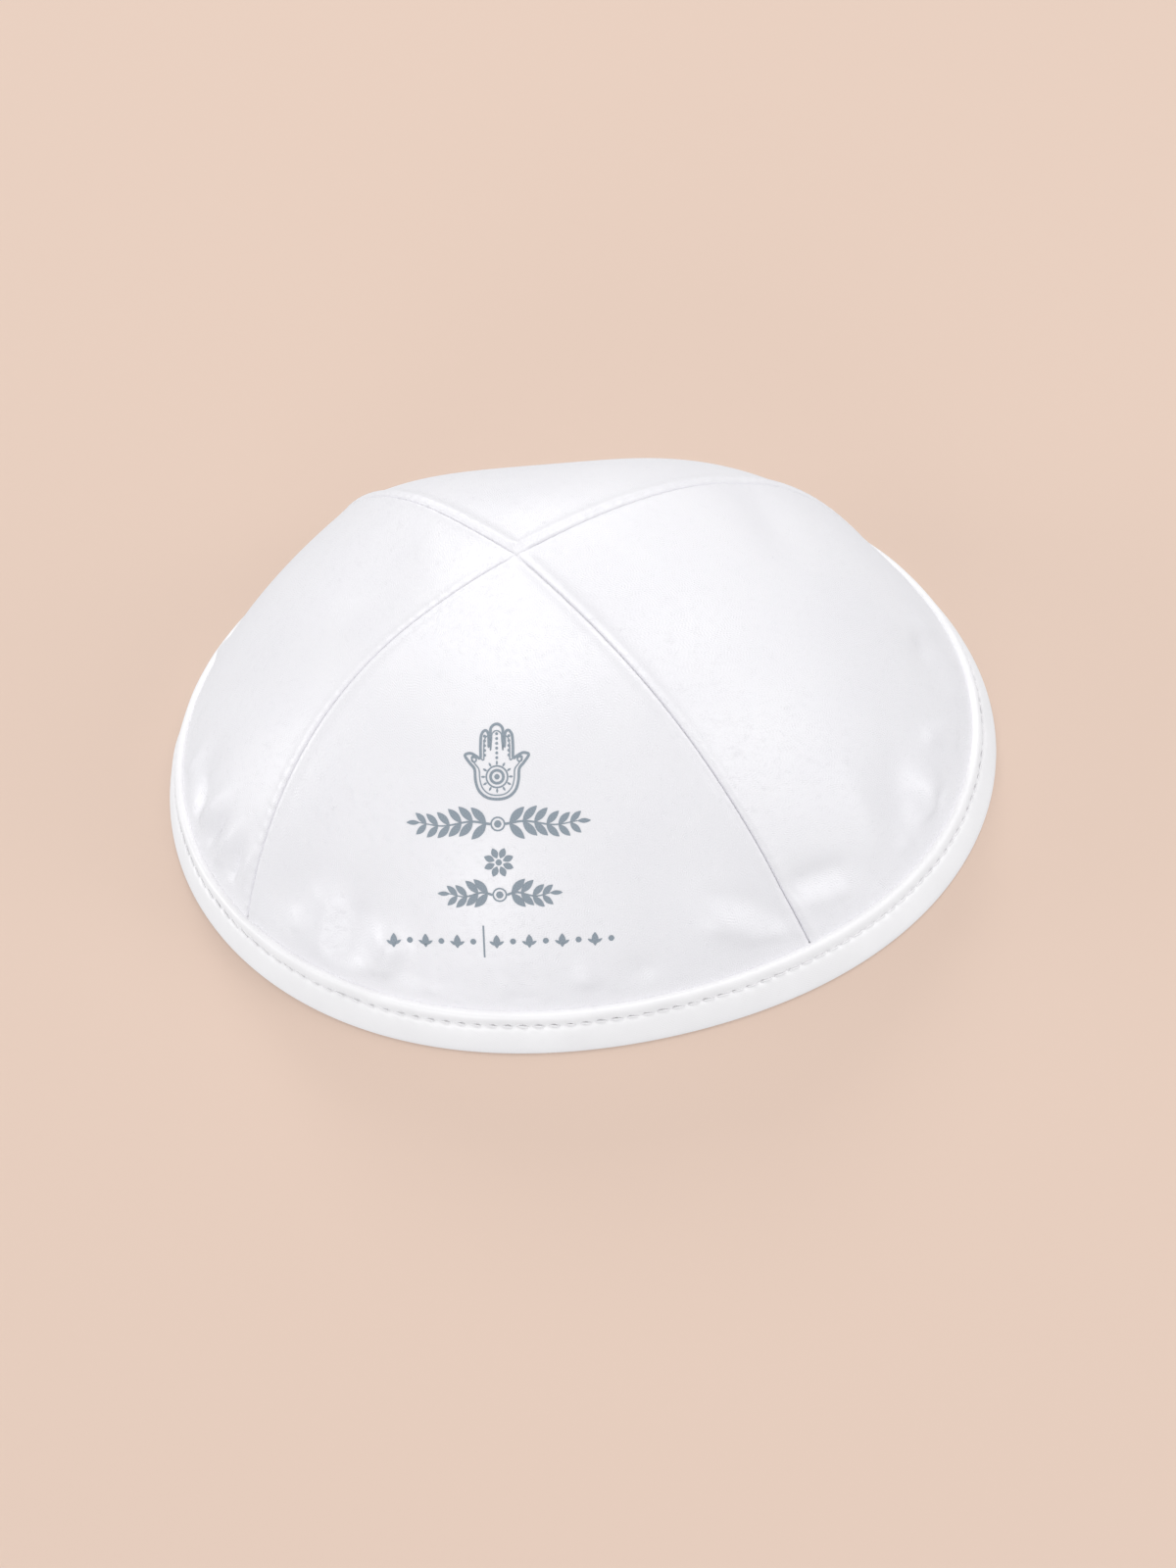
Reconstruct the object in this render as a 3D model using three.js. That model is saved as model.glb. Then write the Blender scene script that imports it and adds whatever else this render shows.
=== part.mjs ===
// A kippah: a brimless cap of four satin panels, sewn along four seams that
// cross at the top, with its rim bound in a folded strip of the same satin.
// Millimetres, +Z up. The origin is the middle of the rim, on the surface that
// the cap rests on. Bearings are degrees counter-clockwise from +X, seen from
// above, and the front of the cap is at bearing 270.
import * as THREE from 'three';

// Driving sizes of the cap
const RIM_RADIUS = 88; // mean radius of the rim's outer edge
const CROWN_HEIGHT = 65.5; // top of the cloth above the surface
const RIM_OVAL = 0.107; // how oval the rim is, as a share of its radius
const RIM_OVAL_BEARING = 20.5; // where the oval is longest
const DOME_ANGLE = 62; // half angle of the arc that the panels are cut to
const CROSSING_SHIFT = -0.163; // where the seams cross, along X, as a share of the rim radius
const SEAM_RISE = 4.4; // how far the seams stand up from the middle of the panels

// Driving sizes of the cloth
const PANEL_CLOTH = 1.2; // wall of a panel, satin on its backing
const BAND_CLOTH = 1.0; // wall of the binding
const BAND_WIDTH = 11.2; // binding outside the cap, from the surface to its folded edge
const INNER_LEG_WIDTH = 9; // binding inside the cap
const FOLD_ROLL = 0.8; // how far the folded edge puffs out
const STITCH_SINK = 0.35; // how deep the stitching pulls the binding in
const BAND_CORNER = 0.8; // rounding where the binding turns under the rim

// Clearances
const SEAM_GAP = 0.3; // between neighbouring panels
const BIND_GAP = 0.3; // between a panel and the binding round its edge

// Fineness of the faces
const PANEL_COLUMNS = 18;
const PANEL_ROWS = 22;
const BAND_COLUMNS = 80;
const TIP_RADIUS = 0.6; // each panel's tip stops this far from the crossing
const MARCH_STEP = 0.004; // step down the crown when a length is measured along it

// The panels, each from one seam to the next
const PANELS = [
  { name: 'panel_right', from: -43.4, to: 42.2 },
  { name: 'panel_back', from: 42.2, to: 148.4 },
  { name: 'panel_left', from: 148.4, to: 224 },
  { name: 'panel_front', from: 224, to: 316.6 },
];

// How much fuller than a plain arc the crown is at eight bearings, as a share
// of the rim radius
const FULLNESS = [
  { bearing: 0, fuller: 0.047 },
  { bearing: 45, fuller: 0.041 },
  { bearing: 90, fuller: -0.011 },
  { bearing: 135, fuller: -0.007 },
  { bearing: 180, fuller: -0.036 },
  { bearing: 225, fuller: 0 },
  { bearing: 270, fuller: 0.027 },
  { bearing: 315, fuller: 0.031 },
];

// Folds and dents of the soft cloth. down is the share of the way from the
// crossing to the rim. across, along and rise are shares of the rim radius, and
// turn leans a fold away from straight down the crown, in degrees.
const FOLDS = [
  { bearing: 268, down: 0.50, across: 0.17, along: 0.40, turn: 0, rise: 0.010 },
  { bearing: 243, down: 0.60, across: 0.13, along: 0.22, turn: 8, rise: -0.012 },
  { bearing: 300, down: 0.66, across: 0.14, along: 0.18, turn: -20, rise: -0.011 },
  { bearing: 248, down: 0.84, across: 0.05, along: 0.13, turn: 0, rise: 0.010 },
  { bearing: 230, down: 0.83, across: 0.05, along: 0.12, turn: 12, rise: -0.010 },
  { bearing: 305, down: 0.82, across: 0.06, along: 0.12, turn: -25, rise: 0.009 },
  { bearing: 322, down: 0.83, across: 0.09, along: 0.06, turn: 20, rise: -0.013 },
  { bearing: 346, down: 0.82, across: 0.08, along: 0.12, turn: 30, rise: -0.017 },
  { bearing: 336, down: 0.78, across: 0.05, along: 0.12, turn: 20, rise: 0.008 },
  { bearing: 10, down: 0.79, across: 0.06, along: 0.10, turn: 0, rise: -0.012 },
  { bearing: 31, down: 0.47, across: 0.13, along: 0.06, turn: 10, rise: -0.012 },
  { bearing: 0, down: 0.55, across: 0.25, along: 0.20, turn: 0, rise: 0.008 },
  { bearing: 203, down: 0.84, across: 0.05, along: 0.13, turn: 0, rise: -0.012 },
  { bearing: 212, down: 0.84, across: 0.05, along: 0.13, turn: 0, rise: 0.008 },
  { bearing: 190, down: 0.60, across: 0.16, along: 0.30, turn: 0, rise: -0.009 },
  { bearing: 95, down: 0.55, across: 0.30, along: 0.25, turn: 0, rise: -0.010 },
  { bearing: 120, down: 0.82, across: 0.07, along: 0.12, turn: 10, rise: -0.011 },
  { bearing: 70, down: 0.84, across: 0.07, along: 0.12, turn: -10, rise: -0.009 },
];

// The binding's outside face: along is the share of the band's width up from
// the surface, sink and puff the shares of the stitch's sink and the fold's roll
const BAND_OUTSIDE = [
  { along: 0.22, sink: 0, puff: 0 },
  { along: 0.60, sink: 0, puff: 0 },
  { along: 0.70, sink: 1, puff: 0 },
  { along: 0.80, sink: 0, puff: 0.7 },
  { along: 0.90, sink: 0, puff: 1 },
  { along: 0.98, sink: 0, puff: 0.4 },
];
const EDGE_LIP = 0.3; // cloth left at the very edge of the fold, as a share of its thickness

// Where the sides of the binding's outside and inside legs are sampled
const OUTER_LEG_SIDE = [0.97, 0.5, 0];
const INNER_LEG_SIDE = [0, 0.5, 1];

const EDGE_HEIGHT = BAND_CLOTH + BIND_GAP; // the panels' lower edge above the surface
const CLOTH_RADIUS = RIM_RADIUS - BAND_CLOTH - BIND_GAP; // mean radius of the panels' edge
const LEVEL_POWER = 8; // how late down the crown the wall's direction turns level
const SWELL_POWER = 1.5; // how softly fullness and seam rise start at the crossing and the rim
const FOLD_FADE = 0.08; // share of the crown above the binding where folds die out
const CROWN_ARC = 1.3 * RIM_RADIUS; // rough length from the crossing to the rim

const radians = THREE.MathUtils.degToRad;

// Value of a table with one row every equal step of bearing, smoothly between rows
function roundTable(table, column, bearing) {
  const count = table.length;
  const position = ((((bearing % 360) + 360) % 360) * count) / 360;
  const index = Math.floor(position) % count;
  const part = position - Math.floor(position);
  const at = (offset) => table[(index + offset + count) % count][column];
  const [before, start, end, after] = [at(-1), at(0), at(1), at(2)];
  const first = end - before;
  const second = 2 * before - 5 * start + 4 * end - after;
  const third = 3 * start - 3 * end + after - before;
  return start + 0.5 * part * (first + part * (second + part * third));
}

// How near a bearing is to the seams of its panel: 1 on a seam, 0 midway
function seamNearness(bearing) {
  const first = PANELS[0].from;
  const turned = ((((bearing - first) % 360) + 360) % 360) + first;
  const panel = PANELS.find((one) => turned >= one.from && turned <= one.to) ?? PANELS[0];
  const across = (turned - panel.from) / (panel.to - panel.from);
  return (2 * across - 1) ** 2;
}

// How far the folds lift or dent the cloth at a place
function foldHeight(bearing, down, planRadius) {
  const above = (1 - BAND_WIDTH / CROWN_ARC - down) / FOLD_FADE;
  const fade = THREE.MathUtils.smoothstep(above, 0, 1);
  let height = 0;
  for (const fold of FOLDS) {
    const apart = THREE.MathUtils.euclideanModulo(bearing - fold.bearing + 180, 360) - 180;
    const sideways = radians(apart) * planRadius;
    const downwards = (down - fold.down) * CROWN_ARC;
    const turn = radians(fold.turn);
    const u = (sideways * Math.cos(turn) + downwards * Math.sin(turn)) / (fold.across * RIM_RADIUS);
    const v = (downwards * Math.cos(turn) - sideways * Math.sin(turn)) / (fold.along * RIM_RADIUS);
    height += fold.rise * RIM_RADIUS * Math.exp(-u * u - v * v);
  }
  return height * fade;
}

// Share of a swelling at a place down the crown: none at the crossing and the rim
function swell(down) {
  return Math.max(Math.sin(Math.PI * down), 0) ** SWELL_POWER;
}

// Plan radius of the dome, before the crossing's shift
function planRadius(bearing, down) {
  const angle = radians(DOME_ANGLE);
  const oval = 1 + RIM_OVAL * Math.cos(2 * radians(bearing - RIM_OVAL_BEARING));
  const arc = Math.sin(down * angle) / Math.sin(angle);
  const fuller = roundTable(FULLNESS, 'fuller', bearing) * swell(down);
  return CLOTH_RADIUS * oval * (arc + fuller);
}

// A point of the smooth dome that the panels are cut to
function domePoint(bearing, down) {
  const angle = radians(DOME_ANGLE);
  const rise = (Math.cos(down * angle) - Math.cos(angle)) / (1 - Math.cos(angle));
  const radius = planRadius(bearing, down);
  return new THREE.Vector3(
    radius * Math.cos(radians(bearing)) + CROSSING_SHIFT * CLOTH_RADIUS * rise,
    radius * Math.sin(radians(bearing)),
    EDGE_HEIGHT + (CROWN_HEIGHT - EDGE_HEIGHT) * rise,
  );
}

// The way out of the cloth, turned level at the rim so that the wall ends flat
function outwardAt(bearing, down) {
  const step = 0.01;
  const low = Math.max(down - step, step);
  const alongCrown = domePoint(bearing, low + step).sub(domePoint(bearing, low - step));
  const middle = Math.max(down, step);
  const aroundCrown = domePoint(bearing + 1, middle).sub(domePoint(bearing - 1, middle));
  const outward = alongCrown.cross(aroundCrown).normalize();
  outward.z *= 1 - down ** LEVEL_POWER;
  return outward.normalize();
}

// A point of the cap's cloth, offset outwards from the panels' outer face
function crownPoint(bearing, down, offset = 0) {
  const point = domePoint(bearing, down);
  point.z += SEAM_RISE * seamNearness(bearing) * swell(down);
  const lift = foldHeight(bearing, down, planRadius(bearing, down));
  return point.addScaledVector(outwardAt(bearing, down), lift + offset);
}

// Share of the way down the crown that lies a length up from the panels' edge
function downAt(bearing, length) {
  let down = 1;
  let walked = 0;
  let here = domePoint(bearing, down);
  while (walked < length) {
    const next = domePoint(bearing, down - MARCH_STEP);
    const stride = next.distanceTo(here);
    if (walked + stride >= length) {
      return down - (MARCH_STEP * (length - walked)) / stride;
    }
    walked += stride;
    down -= MARCH_STEP;
    here = next;
  }
  return down;
}

// A closed mesh from points and four-sided faces
function meshFromFaces(name, points, faces) {
  const positions = [];
  for (const [a, b, c, d] of faces) {
    for (const index of [a, b, c, a, c, d]) {
      positions.push(points[index].x, points[index].y, points[index].z);
    }
  }
  const geometry = new THREE.BufferGeometry();
  geometry.setAttribute('position', new THREE.Float32BufferAttribute(positions, 3));
  geometry.computeVertexNormals();
  const satin = new THREE.MeshStandardMaterial({ color: 0xf1f0f2, roughness: 0.45, metalness: 0 });
  const mesh = new THREE.Mesh(geometry, satin);
  mesh.name = name;
  return mesh;
}

// One panel: an outer and an inner sheet of cloth, closed along its four edges
function panelMesh({ name, from, to }) {
  const points = [];
  const columns = PANEL_COLUMNS + 1;
  const rows = PANEL_ROWS + 1;
  const tip = (TIP_RADIUS / CLOTH_RADIUS) * (Math.sin(radians(DOME_ANGLE)) / radians(DOME_ANGLE));
  for (const offset of [0, -PANEL_CLOTH]) {
    for (let row = 0; row < rows; row += 1) {
      const down = tip + ((1 - tip) * row) / PANEL_ROWS;
      for (let column = 0; column < columns; column += 1) {
        const fromTrim = SEAM_GAP / 2 / radians(planRadius(from, down));
        const toTrim = SEAM_GAP / 2 / radians(planRadius(to, down));
        const start = from + fromTrim;
        const bearing = start + ((to - toTrim - start) * column) / PANEL_COLUMNS;
        points.push(crownPoint(bearing, down, offset));
      }
    }
  }
  const outer = (row, column) => row * columns + column;
  const inner = (row, column) => (rows + row) * columns + column;
  const faces = [];
  for (let row = 0; row < PANEL_ROWS; row += 1) {
    for (let column = 0; column < PANEL_COLUMNS; column += 1) {
      const corners = [[row, column], [row + 1, column], [row + 1, column + 1], [row, column + 1]];
      faces.push(corners.map(([r, c]) => outer(r, c)));
      faces.push(corners.reverse().map(([r, c]) => inner(r, c)));
    }
  }
  for (let row = 0; row < PANEL_ROWS; row += 1) {
    const last = PANEL_COLUMNS;
    faces.push([outer(row, 0), inner(row, 0), inner(row + 1, 0), outer(row + 1, 0)]);
    faces.push([outer(row, last), outer(row + 1, last), inner(row + 1, last), inner(row, last)]);
  }
  for (let column = 0; column < PANEL_COLUMNS; column += 1) {
    const last = PANEL_ROWS;
    faces.push([outer(0, column), outer(0, column + 1), inner(0, column + 1), inner(0, column)]);
    faces.push([
      outer(last, column), inner(last, column), inner(last, column + 1), outer(last, column + 1),
    ]);
  }
  return meshFromFaces(name, points, faces);
}

// The binding's section at a bearing: up its outside, over the folded edge,
// down into the channel that holds the panels' edge, and up and down its inside leg
function bandSection(bearing) {
  const outerFace = BIND_GAP + BAND_CLOTH;
  const channelSide = -PANEL_CLOTH - BIND_GAP;
  const innerFace = channelSide - BAND_CLOTH;
  const onCloth = (length, offset) => crownPoint(bearing, downAt(bearing, length), offset);
  const level = (offset, height) => crownPoint(bearing, 1, offset).setZ(height);
  const outerLength = BAND_WIDTH - EDGE_HEIGHT;
  const section = [level(outerFace - BAND_CORNER, 0), level(outerFace, BAND_CORNER)];
  for (const { along, sink, puff } of BAND_OUTSIDE) {
    section.push(onCloth(along * outerLength, outerFace - sink * STITCH_SINK + puff * FOLD_ROLL));
  }
  section.push(onCloth(outerLength, BIND_GAP + EDGE_LIP * BAND_CLOTH));
  for (const along of OUTER_LEG_SIDE) {
    section.push(onCloth(along * outerLength, BIND_GAP));
  }
  section.push(level(BIND_GAP, BAND_CLOTH), level(channelSide, BAND_CLOTH));
  for (const along of INNER_LEG_SIDE) {
    section.push(onCloth(along * INNER_LEG_WIDTH, channelSide));
  }
  for (const along of [...INNER_LEG_SIDE].reverse()) {
    section.push(onCloth(along * INNER_LEG_WIDTH, innerFace));
  }
  section.push(level(innerFace, BAND_CORNER), level(innerFace + BAND_CORNER, 0));
  return section;
}

// The binding: its section carried once round the rim
function bandMesh() {
  const sections = [];
  for (let column = 0; column < BAND_COLUMNS; column += 1) {
    sections.push(bandSection((column * 360) / BAND_COLUMNS));
  }
  const size = sections[0].length;
  const faces = [];
  for (let column = 0; column < BAND_COLUMNS; column += 1) {
    const next = (column + 1) % BAND_COLUMNS;
    for (let corner = 0; corner < size; corner += 1) {
      const after = (corner + 1) % size;
      faces.push([
        column * size + corner, next * size + corner, next * size + after, column * size + after,
      ]);
    }
  }
  return meshFromFaces('rim_band', sections.flat(), faces);
}

const kippah = new THREE.Group();
for (const panel of PANELS) {
  kippah.add(panelMesh(panel));
}
kippah.add(bandMesh());

export default kippah;
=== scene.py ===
# %% [markdown]
# A satin kippah, seen as it lies on its rim. Four satin panels are sewn together along four seams
# that cross at the top, and a folded strip of satin binds the rim. This lesson dresses the plain
# solids of the cap with cloth: panels with seams and soft folds, a puffy binding with its stitches,
# and a small printed ornament. Every size is in metres.

# %% Load the frame
import math

import bpy
import numpy as np
from mathutils import Matrix, Vector
from mathutils.bvhtree import BVHTree


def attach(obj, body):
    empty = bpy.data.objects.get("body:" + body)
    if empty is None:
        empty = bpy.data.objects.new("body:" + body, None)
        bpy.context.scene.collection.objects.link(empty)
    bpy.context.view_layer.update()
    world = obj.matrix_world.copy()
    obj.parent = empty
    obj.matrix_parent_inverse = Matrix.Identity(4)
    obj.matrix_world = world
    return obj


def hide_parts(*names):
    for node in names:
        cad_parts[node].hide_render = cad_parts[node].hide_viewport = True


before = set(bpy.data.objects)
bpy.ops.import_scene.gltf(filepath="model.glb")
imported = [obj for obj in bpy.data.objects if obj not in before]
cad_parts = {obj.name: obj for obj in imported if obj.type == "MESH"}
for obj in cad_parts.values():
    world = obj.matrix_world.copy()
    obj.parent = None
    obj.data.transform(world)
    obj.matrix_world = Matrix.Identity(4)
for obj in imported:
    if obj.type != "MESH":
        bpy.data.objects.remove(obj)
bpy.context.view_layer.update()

MM = 0.001


def new_object(name, data):
    """An object with this data, linked to the scene."""
    made = bpy.data.objects.new(name, data)
    bpy.context.scene.collection.objects.link(made)
    return made


print("nodes:", sorted(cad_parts))


# %% [markdown]
# The camera comes first, because everything is judged through it. It could be turned by eye, but
# here its angles were measured, so three turns make its matrix: a small roll, then the tilt up from
# the floor, then the turn round the cap.

# %% Camera at the photo's angle
IMAGE_HEIGHT = 1600
CAMERA_AZIMUTH = math.radians(7.68)
CAMERA_ELEVATION = math.radians(51.46)
CAMERA_ROLL = math.radians(-0.84)
CAMERA_DISTANCE = 440 * MM
CAMERA_AIM = Vector((0, 0, 26.1 * MM))
FOCAL_PIXELS = 1994
AIM_PIXEL = (597, 691.3)
IMAGE_MIDDLE = (600, 800)
SENSOR = 36


def make_camera():
    data = bpy.data.cameras.new("camera")
    data.sensor_fit = "VERTICAL"
    data.sensor_height = SENSOR
    data.lens = SENSOR * FOCAL_PIXELS / IMAGE_HEIGHT
    data.shift_x = (IMAGE_MIDDLE[0] - AIM_PIXEL[0]) / IMAGE_HEIGHT
    data.shift_y = (AIM_PIXEL[1] - IMAGE_MIDDLE[1]) / IMAGE_HEIGHT
    data.clip_start = 0.01
    camera = new_object("camera", data)
    tilt = Matrix.Rotation(math.pi / 2 - CAMERA_ELEVATION, 3, "X")
    turn = Matrix.Rotation(CAMERA_AZIMUTH, 3, "Z") @ tilt @ Matrix.Rotation(CAMERA_ROLL, 3, "Z")
    camera.matrix_world = turn.to_4x4()
    camera.location = CAMERA_AIM + turn.col[2] * CAMERA_DISTANCE
    bpy.context.scene.camera = camera
    return camera


camera = make_camera()
print("camera lens:", round(camera.data.lens, 1), "mm")


# %% [markdown]
# A finish is a small network of shader nodes. It could be joined by hand in the editor, but written
# as code it is the same each run. These helpers keep each finish short: one makes the Principled
# shader, one adds a node and sets or joins its sockets, and one joins two sockets.

# %% Helpers for finishes
SHEEN_ROUGHNESS = 0.4


def new_finish(name, colour, roughness, sheen, specular=0.5):
    material = bpy.data.materials.new(name)
    material.use_nodes = True
    shader = material.node_tree.nodes["Principled BSDF"]
    values = {
        "Base Color": (*colour, 1), "Roughness": roughness, "Specular IOR Level": specular,
        "Sheen Weight": sheen, "Sheen Roughness": SHEEN_ROUGHNESS,
    }
    for socket, value in values.items():
        shader.inputs[socket].default_value = value
    return material, shader


def add_node(owner, kind, **values):
    """A node in the tree of a material or in a node group. A value is one of the node's own settings,
    a socket's value, or another node's socket to join."""
    tree = getattr(owner, "node_tree", owner)
    node = tree.nodes.new(kind)
    for name, value in values.items():
        if hasattr(node, name):
            setattr(node, name, value)
            continue
        socket = node.inputs[name.replace("_", " ")]
        if isinstance(value, bpy.types.NodeSocket):
            tree.links.new(value, socket)
        else:
            socket.default_value = value
    return node


def join(material, source, target):
    material.node_tree.links.new(source, target)


print("new materials get", bpy.app.version_string, "Principled shaders")


# %% [markdown]
# Photographs of white cloth live on very soft light. One lamp would throw a hard shadow, so a bright,
# even sky does most of the work, and eight large softboxes stand round and over the cap for the
# highlights on the folds. The floor receives light but throws none back, so that its warm tone
# doesn't tint the white cloth.

# %% Floor and soft light
FLOOR_HALF = 3.0
FLOOR_COLOUR = (0.74, 0.575, 0.477)
SKY_COLOUR = (0.995, 0.99, 1.0)
SKY_STRENGTH = 0.65

# Softboxes: name, place, side and power in watts. Each one faces the cap.
SOFTBOXES = [
    ("back_left", (-0.42, 0.98, 0.8), 0.35, 2.6),
    ("back_right", (0.5, 0.55, 1.1), 0.5, 1.0),
    ("top", (0.02, 0.12, 1.3), 0.4, 1.9),
    ("top_right", (0.35, 0.3, 1.2), 0.4, 0.8),
    ("right", (1.1, -0.1, 0.8), 0.6, 2.0),
    ("low_left", (-1.2, -0.3, 0.35), 0.6, 3.1),
    ("low_front", (-0.1, -1.2, 0.3), 0.6, 2.5),
    ("low_right", (1.2, -0.3, 0.3), 0.6, 0.6),
]


def make_floor():
    signs = ((-1, -1), (1, -1), (1, 1), (-1, 1))
    corners = [(x * FLOOR_HALF, y * FLOOR_HALF, 0) for x, y in signs]
    mesh = bpy.data.meshes.new("floor")
    mesh.from_pydata(corners, [], [(0, 1, 2, 3)])
    floor = new_object("floor", mesh)
    material, shader = new_finish("floor_paper", FLOOR_COLOUR, 0.9, 0.0, 0.2)
    mesh.materials.append(material)
    floor.visible_diffuse = False
    floor.visible_glossy = False
    return floor


def make_light():
    world = bpy.data.worlds.new("sky")
    world.use_nodes = True
    background = world.node_tree.nodes["Background"]
    background.inputs["Color"].default_value = (*SKY_COLOUR, 1)
    background.inputs["Strength"].default_value = SKY_STRENGTH
    bpy.context.scene.world = world
    for name, place, size, power in SOFTBOXES:
        data = bpy.data.lights.new(name, "AREA")
        data.size = size
        data.energy = power
        light = new_object(name, data)
        light.location = place
        light.rotation_euler = Vector(place).to_track_quat("Z", "Y").to_euler()


floor = make_floor()
make_light()
bpy.context.scene.view_settings.view_transform = "Standard"
print(floor.name, "and", len(SOFTBOXES), "softboxes")


# %% [markdown]
# The cloth follows the same rule as the solids: one dome, cut into four panels and drawn with two
# numbers. The bearing goes round the cap, and down goes from the crossing of the seams, 0, to the
# rim, 1. The sizes below are the cap's own, and the tables hold what makes it soft.

# %% Sizes of the cap
RIM_RADIUS = 88 * MM
CROWN_HEIGHT = 65.5 * MM
RIM_OVAL = 0.107
RIM_OVAL_BEARING = 20.5
DOME_ANGLE = 62
CROSSING_SHIFT = -0.163
SEAM_RISE = 4.4 * MM
PANEL_CLOTH = 1.2 * MM
BAND_CLOTH = 1.0 * MM
BAND_WIDTH = 11.2 * MM
INNER_LEG_WIDTH = 9 * MM
FOLD_ROLL = 0.2 * MM
STITCH_SINK = 0.34 * MM
BAND_CORNER = 0.8 * MM
BIND_GAP = 0.3 * MM
EDGE_HEIGHT = BAND_CLOTH + BIND_GAP
CLOTH_RADIUS = RIM_RADIUS - EDGE_HEIGHT
CROWN_ARC = 1.3 * RIM_RADIUS
LEVEL_POWER = 8
SWELL_POWER = 1.5
FOLD_FADE = 0.08
CREASE_FADE = 0.03
FULLNESS = [0.047, 0.041, -0.011, -0.007, -0.036, 0, 0.027, 0.031]

# Each panel from one seam to the next. A lip is the raised edge beside a seam, with its height,
# its distance from the seam and its half width in millimetres. A pull is the height of the waves
# that the thread draws into the cloth.
PANELS = [
    {"node": "panel_right", "span": (-43.4, 42.2),
     "lips": ((0.38, 1.5, 1.2), (0.08, 1.0, 0.8)), "pulls": (0.07, 0.05)},
    {"node": "panel_back", "span": (42.2, 148.4),
     "lips": ((0.75, 2.0, 1.5), (0.65, 1.9, 1.4)), "pulls": (0.11, 0.11)},
    {"node": "panel_left", "span": (148.4, 224.0),
     "lips": ((0.08, 0.9, 0.7), (0.24, 1.2, 1.0)), "pulls": (0.04, 0.17)},
    {"node": "panel_front", "span": (224.0, 316.6),
     "lips": ((0.34, 1.1, 0.9), (0.26, 1.1, 0.9)), "pulls": (0.05, 0.05)},
]

# Soft folds: bearing and down, half width across and along, turn away from straight down the crown,
# and rise. Turns and bearings are in degrees, the rest are shares of the rim radius.
FOLDS = [
    (268, 0.50, 0.17, 0.40, 0, 0.010),
    (243, 0.60, 0.13, 0.22, 8, -0.012),
    (300, 0.66, 0.14, 0.18, -20, -0.011),
    (248, 0.84, 0.05, 0.13, 0, 0.010),
    (230, 0.83, 0.05, 0.12, 12, -0.010),
    (305, 0.82, 0.06, 0.12, -25, 0.009),
    (322, 0.83, 0.09, 0.06, 20, -0.013),
    (346, 0.82, 0.08, 0.12, 30, -0.017),
    (336, 0.78, 0.05, 0.12, 20, 0.008),
    (10, 0.79, 0.06, 0.10, 0, -0.012),
    (31, 0.47, 0.13, 0.06, 10, -0.012),
    (0, 0.55, 0.25, 0.20, 0, 0.008),
    (203, 0.84, 0.05, 0.13, 0, -0.012),
    (212, 0.84, 0.05, 0.13, 0, 0.008),
    (190, 0.60, 0.16, 0.30, 0, -0.009),
    (95, 0.55, 0.30, 0.25, 0, -0.010),
    (120, 0.82, 0.07, 0.12, 10, -0.011),
    (70, 0.84, 0.07, 0.12, -10, -0.009),
]

# Sharper creases of the cloth's surface, in the same columns
CREASES = [
    (348.3, 0.850, 0.055, 0.070, 0, 0.034),
    (349.5, 0.890, 0.035, 0.040, 10, -0.024),
    (13, 0.778, 0.030, 0.040, -30, -0.012),
    (18, 0.80, 0.025, 0.050, -20, 0.006),
    (339, 0.893, 0.020, 0.030, 0, 0.006),
    (289, 0.87, 0.032, 0.040, 0, -0.007),
    (280, 0.87, 0.030, 0.040, 0, 0.007),
    (271, 0.89, 0.010, 0.030, -10, 0.004),
    (267, 0.885, 0.012, 0.030, -10, 0.004),
    (303, 0.74, 0.100, 0.100, 0, -0.008),
    (233, 0.865, 0.018, 0.030, 0, 0.009),
    (242, 0.79, 0.160, 0.150, 0, -0.027),
    (192, 0.30, 0.130, 0.180, 0, -0.028),
    (222, 0.835, 0.012, 0.055, 4, 0.009),
    (219.3, 0.85, 0.013, 0.060, 4, -0.018),
    (216.3, 0.845, 0.014, 0.080, 12, 0.015),
    (213, 0.84, 0.016, 0.065, 18, -0.021),
    (209.5, 0.83, 0.014, 0.075, 20, 0.013),
    (205.5, 0.85, 0.026, 0.055, -20, -0.018),
    (199, 0.85, 0.020, 0.060, 8, 0.010),
    (190, 0.86, 0.020, 0.060, 0, -0.008),
    (173, 0.20, 0.050, 0.050, 0, 0.005),
    (60, 0.87, 0.022, 0.060, 5, -0.009),
    (84, 0.86, 0.026, 0.060, 0, 0.010),
    (104, 0.86, 0.024, 0.070, 12, -0.010),
    (133, 0.86, 0.026, 0.060, -12, 0.010),
    (160, 0.86, 0.022, 0.070, 0, -0.010),
    (176, 0.86, 0.020, 0.070, 8, 0.009),
]

# Folds that run along a line: bearings and downs of its points, half width and rise in millimetres
GATHERS = [
    ([(356.8, 0.803), (359.2, 0.832), (360.2, 0.868)], 2.2, 0.9),
    ([(306, 0.778), (311, 0.811), (314, 0.860)], 2.6, -0.55),
    ([(304, 0.827), (308, 0.860), (311, 0.885), (314, 0.918)], 2.4, 0.7),
    ([(319, 0.852), (322, 0.860), (325, 0.868)], 2.2, 0.4),
    ([(320, 0.819), (324, 0.819), (327, 0.827)], 2.4, -0.5),
    ([(237.0, 0.800), (236.8, 0.850), (236.0, 0.910)], 3.3, 1.3),
    ([(248.0, 0.830), (247.2, 0.865), (245.5, 0.910)], 3.3, 1.9),
    ([(242.0, 0.800), (241.5, 0.900)], 2.6, -0.5),
]
print("panels:", len(PANELS), "folds:", len(FOLDS), "creases:", len(CREASES) + len(GATHERS))


# %% [markdown]
# The crown of the cap is one smooth dome before any fold is put in it. It could be shaped with
# modifiers, but a formula fits the photo exactly, and numpy works on whole grids of bearings and
# downs at once, so a panel of twenty thousand points takes no longer to write than one point.

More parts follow.
